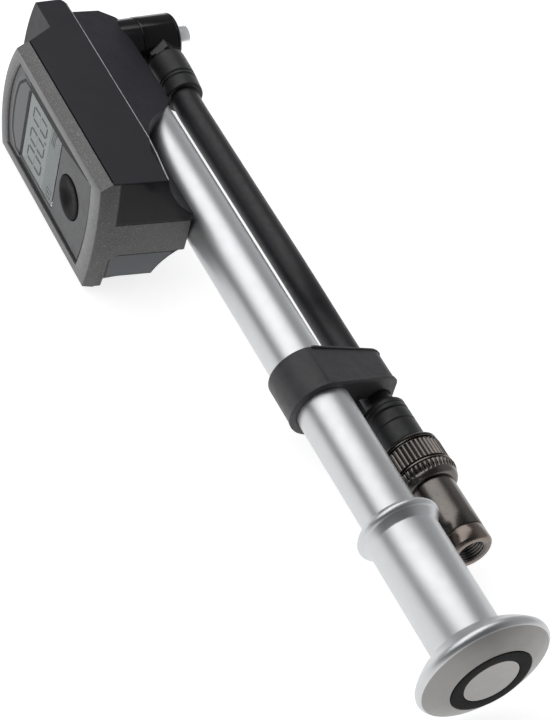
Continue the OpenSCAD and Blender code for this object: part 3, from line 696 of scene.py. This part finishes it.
def strip(path, width):
    """Closed outline of a line of this width along an open path in (x, z)."""
    left, right = [], []
    for i, p in enumerate(path):
        a, b = Vector(path[max(i - 1, 0)]), Vector(path[min(i + 1, len(path) - 1)])
        along = (b - a).normalized()
        side = Vector((-along.y, along.x)) * width / 2
        left.append(tuple(Vector(p) + side))
        right.append(tuple(Vector(p) - side))
    return left + right[::-1]


# glossy lens above the display, its black mask line, and the dark border
lens_top = [(-101.6 + bow(33, z), z) for z in spread(-10.6, 10.6, 16)]
panel_piece("panel_lens", [[(-91.3, -14.0), (-96.5, -14.0)] + lens_top + [(-96.5, 14.0), (-91.3, 14.0)]],
            0.5, 0.70, "panel_lens", bevel=0.08)
mask_path = ([(-91.5, -12.9), (-95.2, -12.9), (-98.6, -9.0)]
             + [(-100.0 + bow(31, z), z) for z in spread(-7.5, 7.5, 10)]
             + [(-98.6, 9.0), (-95.2, 12.9), (-91.5, 12.9)])
panel_piece("panel_mask", [strip(mask_path, 0.95), strip([(-91.75, -13.2), (-91.75, 11.6)], 0.75)],
            0.6, 0.72, "panel_dark")
panel_piece("panel_border", [
    [(-92.5, 12.3), (-92.5, 14.95), (-47.9, 14.95), (-49.3, 14.2), (-66.5, 12.3)],
    [(-92.5, -14.95), (-92.5, -13.4), (-47.9, -14.3), (-46.6, -14.95)],
    strip([(-45.1 - bow(60, z), z) for z in spread(-14.6, 14.6, 20)], 0.5),
], 0.55, 0.645, "panel_dark")

# display ---------------------------------------------------------------



def rectangle(x0, x1, half):
    return [(x0, -half), (x0, half), (x1, half), (x1, -half)]


panel_piece("display_glass", [rectangle(LCD_LOW - 0.9, LCD_HIGH + 0.8, LCD_HALF + 0.9)],
            -3.7, 0.18, "lcd_glass", "lcd_module", bevel=0.1)
panel_piece("display_lower", [rectangle(-75.4, LCD_HIGH, LCD_HALF)], 0.17, 0.20, "lcd_lower")

DIGIT_TOP, DIGIT_LENGTH, DIGIT_WIDTH, STROKE = -87.6, 9.8, 4.3, 0.78


def bar(a, b, width):
    """Display segment from a to b in (x, z), with pointed ends."""
    a, b = Vector(a), Vector(b)
    along = (b - a).normalized()
    side = Vector((-along.y, along.x)) * width / 2
    tip = along * width / 2
    return [tuple(p) for p in (a, a + tip + side, b - tip + side, b, b - tip - side, a + tip - side)]


def zero(z0, on=True):
    """Segments of a nought whose -Z edge is z0; the top of the digit is towards -X."""
    x0, x1, z1 = DIGIT_TOP, DIGIT_TOP + DIGIT_LENGTH, z0 + DIGIT_WIDTH
    middle = (x0 + x1) / 2
    gap = 0.28
    lit = [((x0, z0 + gap), (x0, z1 - gap)), ((x1, z0 + gap), (x1, z1 - gap)),
           ((x0 + gap, z0), (middle - gap, z0)), ((middle + gap, z0), (x1 - gap, z0)),
           ((x0 + gap, z1), (middle - gap, z1)), ((middle + gap, z1), (x1 - gap, z1))]
    dark = [((middle, z0 + gap), (middle, z1 - gap))]
    return [bar(a, b, STROKE) for a, b in (lit if on else dark)]


DIGITS_Z = (-9.6, -2.75, 4.9)
POINT = circle_points((DIGIT_TOP + DIGIT_LENGTH + 0.1, 3.2), 0.5, spread(0, 345, 23))
panel_piece("display_digits", sum((zero(z) for z in DIGITS_Z), []) + [POINT],
            0.20, 0.25, "lcd_ink")
panel_piece("display_ghosts", sum((zero(z, False) for z in DIGITS_Z), []),
            0.20, 0.22, "lcd_ghost")
# unit marker and battery symbol
marker = [bar((-73.9 + 0.9 * k, 6.7), (-73.5 + 0.9 * k, 11.4), 0.35) for k in range(3)]
marker += [bar((-74.1, 6.9), (-71.3, 6.9), 0.3), bar((-73.7, 11.3), (-71.0, 11.3), 0.3)]
symbol = [bar((-72.2, -11.4), (-72.2, -8.4), 0.32), bar((-69.4, -11.4), (-69.4, -8.4), 0.32),
          bar((-72.2, -11.4), (-69.4, -11.4), 0.32), bar((-72.2, -8.4), (-69.4, -8.4), 0.32),
          bar((-71.4, -10.6), (-71.4, -9.2), 0.4), bar((-70.4, -10.6), (-70.4, -9.2), 0.4)]
panel_piece("display_marks", marker + symbol, 0.20, 0.24, "lcd_ink")
window = rounded([(x, z, 0.4) for x, z in rectangle(LCD_LOW, LCD_HIGH, LCD_HALF)])
panel_piece("display_window", [window], 0.30, 0.66, "clear_window", "lcd_window", bevel=0.08)

# button ----------------------------------------------------------------


def button_outline():
    """(depth, radius): a rolled edge, then a dish that is deepest in its middle."""
    edge = [(2.4, 0), (2.4, 7.1), (1.5, 7.1), (1.5, 6.6), (0.45, 6.6), (0.16, 6.5), (0.03, 6.25),
            (0.0, 5.9)]
    dish = [(0.95 * math.cos(math.pi * r / 11.0) ** 2 + 0.02, r)
            for r in (5.4 - 0.45 * k for k in range(12))]
    return edge + dish + [(0.93, 0)]


close_piece("button_cap", turned(button_outline(), 96, closed=False), "button", "button_rubber",
            "power_button", matrix=standing(BUTTON_X, -36.25), sharp=math.radians(50))

# --------------------------------------------------- banjo, nut and bolt

BANJO_X, BANJO_R = -118.5, 8.3
cad_copy("valve_block", "head_core", "pump", "gloss_black", 0.15)
close_piece("banjo_ring", turned(rounded([
    (10.92, 2.53, 0), (10.92, BANJO_R, 0.3), (12.1, BANJO_R, 0.0), (12.15, BANJO_R - 0.1, 0),
    (12.3, BANJO_R - 0.1, 0), (12.35, BANJO_R, 0), (22.35, BANJO_R, 0.25), (22.35, 2.53, 0)]), 160),
    "hose_set", "gloss_black", "banjo_body", matrix=standing(BANJO_X))
cap_edge = [(22.75 + 1.15 * math.sin(math.radians(a)), BANJO_R - 1.6 + 1.6 * math.cos(math.radians(a)))
            for a in range(8, 91, 9)]
close_piece("banjo_end_cap", turned(
    [(22.46, 2.5), (22.46, 8.22), (22.56, BANJO_R), (22.8, BANJO_R), *cap_edge, (23.9, 4.2), (23.9, 2.5)],
    160), "pump", "gloss_black", "banjo_cap", matrix=standing(BANJO_X))


def hexagon(angle, radius):
    """Radius at this angle of a hexagon whose corners are at radius."""
    part = (angle + math.pi / 6) % (math.pi / 3) - math.pi / 6
    return radius * math.cos(math.pi / 6) / math.cos(part)


def banjo_screw():
    """Cap screw that clamps the banjo: shank, round head, and a hexagon socket in the head."""
    shank_r, shank_end, head_r, head_end, socket_r, socket_depth = 2.48, 20.4, 3.7, 25.4, 1.9, 2.2
    bm = turned([
        (0, 0), (0, shank_r - 0.25), (0.25, shank_r), (shank_end, shank_r), (shank_end, head_r - 0.15),
        (shank_end + 0.15, head_r), (head_end - 0.45, head_r), (head_end - 0.2, head_r - 0.12),
        (head_end, head_r - 0.5), (head_end, socket_r + 0.25)], 96, closed=False)
    rim = [v for v in bm.verts
           if abs(v.co.x - head_end) < 1e-6 and math.hypot(v.co.y, v.co.z) < socket_r + 0.3]
    rim.sort(key=lambda v: math.atan2(v.co.z, v.co.y))
    rows = [rim]
    for x in (head_end - 0.12, head_end - socket_depth):
        row = []
        for v in rim:
            a = math.atan2(v.co.z, v.co.y)
            r = hexagon(a, socket_r)
            row.append(bm.verts.new((x, r * math.cos(a), r * math.sin(a))))
        rows.append(row)
    for low, high in zip(rows, rows[1:]):
        for k in range(len(low)):
            m = (k + 1) % len(low)
            bm.faces.new((low[k], low[m], high[m], high[k]))
    bm.faces.new(rows[-1])
    close_piece("banjo_screw", bm, "pump", "bright_bolt", "banjo_bolt", matrix=standing(BANJO_X, 3.5))


banjo_screw()


def hex_nut():
    """Hexagonal nut whose corners are chamfered and whose back is hollowed round the banjo."""
    steps = 96
    x0, x1, corner_r = -112.6, -108.62, 5.7
    rows = [ring(x1 + 2.6, 1.6, steps)]
    for x, cut in ((x1 + 2.6, 2.4), (x1, 2.4), (x1, 4.9), (x1 - 0.5, 9)):
        row = []
        for k in range(steps):
            a = 2 * math.pi * k / steps
            r = min(hexagon(a, corner_r), cut)
            row.append((x, r * math.cos(a), r * math.sin(a)))
        rows.append(row)
    back = []
    for x, y, z in rows[-1]:
        depth = BANJO_X + math.sqrt(max((BANJO_R + 0.03) ** 2 - z * z, 0))
        back.append((max(depth, x0), y, z))
    inner = [(BANJO_X + math.sqrt((BANJO_R + 0.03) ** 2 - z * z), y, z) for _, y, z in ring(0, 1.6, steps)]
    bm = bmesh.new()
    surface(bm, rows + [back, inner], wrap_rows=True)
    bmesh.ops.translate(bm, vec=(0, 17.3, 0), verts=bm.verts)
    close_piece("hose_nut", bm, "hose_set", "black_anodised", "hose_nipple", sharp=math.radians(24))


hex_nut()

# ------------------------------------------------------------------ hose

HOSE_R = 4.4


def two_arcs(u, side, length):
    """Sideways shift at u of two equal arcs that carry a line over by side in length."""
    turn = 2 * math.atan(side / length)
    bend = length / (2 * math.sin(turn))
    if u <= length / 2:
        return bend - math.sqrt(bend ** 2 - u * u)
    return side - (bend - math.sqrt(bend ** 2 - (length - u) ** 2))


DROP = math.atan2(CHUCK_Z, CHUCK_Y - 15.6)


def hose_line(x):
    """The hose's middle line."""
    if x <= -106:
        return Vector((x, 17.3, 0))
    if x <= -82:
        return Vector((x, 17.3 - two_arcs(x + 106, 1.7, 24), 0))
    if x <= -20:
        return Vector((x, 15.6, 0))
    if x <= 16:
        out = two_arcs(x + 20, math.hypot(CHUCK_Z, CHUCK_Y - 15.6), 36)
        return Vector((x, 15.6 + out * math.cos(DROP), out * math.sin(DROP)))
    return Vector((x, CHUCK_Y, CHUCK_Z))


def swept(profile, steps=72):
    """Round section carried along the hose's line; profile is (x, radius)."""
    bm = bmesh.new()
    rows = []
    for x, r in profile:
        middle = hose_line(x)
        along = (hose_line(x + 0.05) - hose_line(x - 0.05)).normalized()
        side = along.cross(Vector((0, 0, 1))).normalized()
        up = side.cross(along)
        rows.append([tuple(middle + r * (math.cos(2 * math.pi * k / steps) * side
                                         + math.sin(2 * math.pi * k / steps) * up)) for k in range(steps)])
    surface(bm, rows, wrap_rows=True)
    return bm


def evenly(x0, x1, step, r):
    count = max(1, round((x1 - x0) / step))
    return [(x, r) for x in spread(x0, x1, count)]


close_piece("hose_tube", swept(evenly(-106, 46, 1.0, HOSE_R) + evenly(46, -106, 2.0, 1.6)),
            "hose_set", "hose_rubber", "hose")


def grooved(x0, x1, r, grooves, step=0.5):
    """(x, radius) points along a sleeve with rounded grooves, each (x, half width, depth)."""
    xs = set(spread(x0, x1, round((x1 - x0) / step)))
    for at, half, _ in grooves:
        xs |= {at + half * k / 4 for k in range(-4, 5)}
    return [(x, r - sum(deep * math.cos(math.pi * (x - at) / (2 * half)) ** 2
                        for at, half, deep in grooves if abs(x - at) < half)) for x in sorted(xs)]


def boot_upper():
    shoulder = [(-108.55 + 1.6 * (1 - math.cos(math.radians(a))), 4.3 + 1.6 * math.sin(math.radians(a)))
                for a in range(0, 91, 9)]
    sleeve = grooved(-106.6, -92.0, 5.9, ((-97.9, 0.55, 0.38), (-96.3, 0.55, 0.38)))
    lip = [(-91.55, 5.86), (-91.25, 5.7), (-91.1, 5.4), (-91.1, 4.45)]
    inside = evenly(-91.5, -106, 2.0, 4.43) + [(-106, 2.45), (-108.55, 2.45)]
    return shoulder + sleeve + lip + inside


close_piece("boot_upper", swept(boot_upper()), "hose_set", "boot_rubber", "hose_boot_upper",
            sharp=math.radians(45))


def boot_lower():
    neck = [(36.1, 4.45), (36.1, 5.2), (36.3, 5.42), (36.6, 5.5), (36.95, 5.5), (37.1, 5.65), (37.2, 6.05),
            (37.45, 6.42), (37.8, 6.6)]
    sleeve = grooved(38.2, 50.7, 6.6, ((39.1, 0.3, 0.14), (40.8, 0.5, 0.42), (44.9, 0.25, 0.2)))
    end = [(51.2, 6.58), (51.5, 6.45), (51.7, 6.2), (51.7, 4.2), (46, 4.2), (46, 4.43)]
    return neck + sleeve + end


close_piece("boot_lower", swept(boot_lower()), "hose_set", "boot_rubber", "hose_boot_lower",
            sharp=math.radians(45))

# ----------------------------------------------------------------- chuck


def knurled(profile, zones, flutes, depth, steps_per_flute=8):
    """Turned shape whose radius is fluted inside the (start, end) zones of x."""
    count = flutes * steps_per_flute
    bm = bmesh.new()
    rows = []
    for x, r in profile:
        inside = max((min(1.0, (x - a) / 0.35, (b - x) / 0.35) for a, b in zones), default=0)
        row = []
        for k in range(count):
            a = 2 * math.pi * k / count
            crest = abs(math.cos(flutes * a / 2)) ** 0.8
            cut = depth * (1 - crest) * max(0.0, inside) * (r > 7)
            row.append((x, CHUCK_Y + (r - cut) * math.cos(a), CHUCK_Z + (r - cut) * math.sin(a)))
        rows.append(row)
    surface(bm, rows, wrap_rows=True)
    return bm


def collar():
    x, r, bore = 52.0, 9.1, 3.05
    shoulder = [(0, 1.7), (0.15, 1.25), (0.4, 0.75), (0.62, 0.55), (0.85, 0.5), (1.05, 0.62), (1.15, 0.95),
                (1.3, 0.62), (1.5, 0.45), (1.75, 0.5), (1.85, 1.0), (2.25, 1.0), (2.33, 0.6)]
    grip = [(2.5 + 0.3 * k, 0.3) for k in range(21)]
    grooves = [(8.6, 0.6), (8.68, 1.0), (8.9, 1.0), (8.98, 0.4), (9.15, 0.2), (9.5, 0.2), (9.62, 0.4),
               (9.68, 0.8), (9.85, 0.8), (9.95, 0.15)]
    crown = [(10.2, 0), (10.6, 0), (11.0, 0.04), (11.5, 0.18), (12.0, 0.4), (12.3, 0.55), (12.5, 0.6),
             (12.9, 0.65), (13.4, 0.85), (13.8, 1.1), (14.1, 1.5), (14.3, 2.0)]
    outside = [(x + at, r - below) for at, below in shoulder + grip + grooves + crown]
    profile = [(x, bore)] + outside + [(x + 14.3, 6.56), (59.6, 6.56), (59.6, bore)]
    zones = ((x + 2.35, x + 8.6), (x + 9.9, x + 12.4))
    return knurled(profile, zones, 40, 0.62)


close_piece("collar_knurled", collar(), "collar", "black_nickel", "chuck_collar", sharp=math.radians(40))


def tip():
    """The chuck's tip: a plain cylinder, a groove, a warmer end band, and a thread in its mouth."""
    steps, seat, pitch = 120, 79.2, 0.8
    outside = [(60.0, 3.05), (60.0, 6.2), (60.3, 6.5)] + evenly(61, 82.6, 4.5, 6.5)
    outside += [(82.75, 6.42), (82.82, 6.2), (83.02, 6.2), (83.1, 6.42), (83.25, 6.5), (87.1, 6.5),
                (87.35, 6.42), (87.8, 5.98), (87.95, 5.8), (88.0, 5.6), (88.0, 4.5), (87.9, 4.25)]
    rows = [ring(x, r, steps, CHUCK_Y, CHUCK_Z) for x, r in outside]
    xs = [87.6 - 0.1 * k for k in range(int((87.6 - seat) / 0.1) + 1)]
    for x in xs:
        row = []
        fade = min(1.0, (87.7 - x) / 0.5)
        for k in range(steps):
            a = 2 * math.pi * k / steps
            phase = (x / pitch - k / steps) % 1.0
            wave = 1 - abs(2 * phase - 1)
            r = 3.86 - 0.38 * max(0.0, wave - 0.12) * fade
            row.append((x, CHUCK_Y + r * math.cos(a), CHUCK_Z + r * math.sin(a)))
        rows.append(row)
    inside = [(seat, 4.15), (76.7, 4.15), (76.7, 3.05), (74.3, 3.05), (74.3, 3.25), (71.9, 3.25),
              (71.9, 3.05)]
    rows += [ring(x, r, steps, CHUCK_Y, CHUCK_Z) for x, r in inside]
    bm = bmesh.new()
    surface(bm, rows, wrap_rows=True)
    for f in bm.faces:
        at = f.calc_center_median()
        if at.x > 82.9 and math.hypot(at.y - CHUCK_Y, at.z - CHUCK_Z) > 4.4:
            f.material_index = 1
    close_piece("tip_threaded", bm, "tip", "black_nickel", "chuck_tip", material=("bronze_nickel",),
                sharp=math.radians(36))


tip()

# ------------------------------------------------------------------ clip

cad_copy("clip_band", "hose_clip", "clip", "clip_rubber", 0.5, width_steps=4)

CLIP_X0, CLIP_X1, CLIP_R = 21.5, 35.7, 10.0


def clip_end(y):
    """The clip's lower edge, which slants back beyond the barrel."""
    return CLIP_X1 - max(0.0, y - 2) * 3.5 / (CHUCK_Y + 6)


def clip_lip(name, edges, path):
    """Thin raised rim that follows the clip's outside; edges(y) gives where it starts and ends."""
    bm = bmesh.new()
    rows = []
    for i, p in enumerate(path):
        a, b = Vector(path[max(i - 1, 0)]), Vector(path[min(i + 1, len(path) - 1)])
        along = (b - a).normalized()
        out = Vector((along.y, -along.x))
        high, low = Vector(p) + out * 0.22, Vector(p) - out * 0.5
        start, end = edges(p[0])
        rows.append([(start, *high), (end, *high), (end, *low), (start, *low)])
    made = surface(bm, rows)
    bm.faces.new(made[0])
    bm.faces.new(made[-1][::-1])
    close_piece(name, bm, "clip", "clip_rubber", bevel=0.2, steps=3)


TOP_FLAT = [(CHUCK_Y + 5.65, -7.6), (CHUCK_Y + 5.65, -0.25), (CHUCK_Y + 5.3, 0.9), (CHUCK_Y + 4.3, 2.05),
            (CHUCK_Y + 3.0, 3.0), (CHUCK_Y + 2.0, 3.4)]
ROUND = circle_points((0, 0), CLIP_R, range(80, 291, 6))
clip_lip("clip_lip_lower", lambda y: (clip_end(y) - 1.1, clip_end(y) - 0.05), TOP_FLAT + ROUND)
web = slab(rounded([(34, 9.5, 0), (38.6, 9.5, 0.8), (38.6, 12.3, 0.8), (34, 12.3, 0)]), -6.5, -1.5)
close_piece("clip_web", web, "clip", "clip_rubber", bevel=0.5)
clip_lip("clip_lip_upper", lambda y: (CLIP_X0 + 0.05, CLIP_X0 + 0.75), TOP_FLAT + ROUND[:2])

# ------------------------------------------- small parts that show a little

close_piece("bleed_cap", turned(
    [(-121.6, 0), (-121.6, 2.5), (-121.45, 2.82), (-121.1, 3.0), (-119.4, 3.0), (-119.4, 1.0),
     (-113.5, 1.0), (-113.5, 0)], 72, cy=-6.0, closed=False), "bleed", "black_anodised", "bleed_button")
cad_copy("battery_lid_cap", "battery_cover", "battery_lid", "cover_plastic", 0.2)
cad_copy("shell_screws", "housing_screws", "pump", "screw_steel", 0.12)

# materials for the parts that keep their CAD solids
INSIDE = {
    "seal_rubber": ("rod_seal", "core_o_ring", "banjo_o_rings", "bleed_seal", "piston_seal", "stem_o_ring",
                    "chuck_seal"),
    "steel": ("check_ball", "check_spring", "button_switch", "battery_cells", "bleed_spring"),
    "brass": ("battery_contact", "hose_ferrule", "chuck_stem", "valve_pin"),
    "sensor_steel": ("pressure_sensor",),
    "screw_steel": ("rod_screw",),
    "guide_plastic": ("piston",),
    "board": ("circuit_board",),
}
for finish, nodes in INSIDE.items():
    for node in nodes:
        thing = frame["nodes"][node]
        thing.data.materials.clear()
        thing.data.materials.append(MATERIALS[finish])

# ---------------------------------------------------------- floor, lights


def floor():
    n = Nodes("floor_paper")
    n.shader.inputs["Roughness"].default_value = 0.9
    n.shader.inputs["Specular IOR Level"].default_value = 0.1
    n.shader.inputs["Emission Color"].default_value = (1, 1, 1, 1)
    n.shader.inputs["Emission Strength"].default_value = 0.80
    n.link(n.colours(n.noise(0.01), [(0.3, (0.59, 0.59, 0.59)), (0.7, (0.61, 0.61, 0.61))]),
           n.shader.inputs["Base Color"])
    mesh = bpy.data.meshes.new("floor")
    reach = 4.0
    corners = [(-reach, -reach, 0), (reach, -reach, 0), (reach, reach, 0), (-reach, reach, 0)]
    mesh.from_pydata(corners, [], [(0, 1, 2, 3)])
    mesh.materials.append(n.material)
    plane = bpy.data.objects.new("floor", mesh)
    bpy.context.scene.collection.objects.link(plane)


def softbox(name, place, target, width, length, radiance, turn=0.0):
    """Rectangular light of a given brightness, aimed at target."""
    data = bpy.data.lights.new(name, "AREA")
    data.shape = "RECTANGLE"
    data.size, data.size_y = width, length
    data.energy = radiance * width * length * math.pi
    light = bpy.data.objects.new(name, data)
    bpy.context.scene.collection.objects.link(light)
    aim = (Vector(target) - Vector(place)).to_track_quat("-Z", "Y").to_matrix().to_4x4()
    light.matrix_world = Matrix.Translation(place) @ aim @ Matrix.Rotation(turn, 4, "Z")


def world():
    """Studio walls: dark behind the display side, paler behind the hose side."""
    scene = bpy.context.scene
    scene.world = bpy.data.worlds.new("studio")
    scene.world.use_nodes = True
    tree = scene.world.node_tree
    coordinates = tree.nodes.new("ShaderNodeTexCoord")
    parts = tree.nodes.new("ShaderNodeSeparateXYZ")
    ramp = tree.nodes.new("ShaderNodeValToRGB")
    shift = tree.nodes.new("ShaderNodeMapRange")
    shift.inputs["From Min"].default_value = -1
    tree.links.new(coordinates.outputs["Generated"], parts.inputs[0])
    tree.links.new(parts.outputs["Y"], shift.inputs["Value"])
    tree.links.new(shift.outputs["Result"], ramp.inputs["Fac"])
    for element, (at, level) in zip(ramp.color_ramp.elements, ((0.66, 0.10), (0.88, 0.45))):
        element.position = at
        element.color = (level, level * 1.01, level * 1.03, 1)
    tree.links.new(ramp.outputs["Color"], tree.nodes["Background"].inputs["Color"])


floor()
world()
softbox("overhead", (-0.42, -0.24, 0.66), (-0.05, -0.02, 0.02), 0.68, 1.35, 1.75, turn=math.radians(90))
bpy.context.scene.view_settings.view_transform = "Standard"
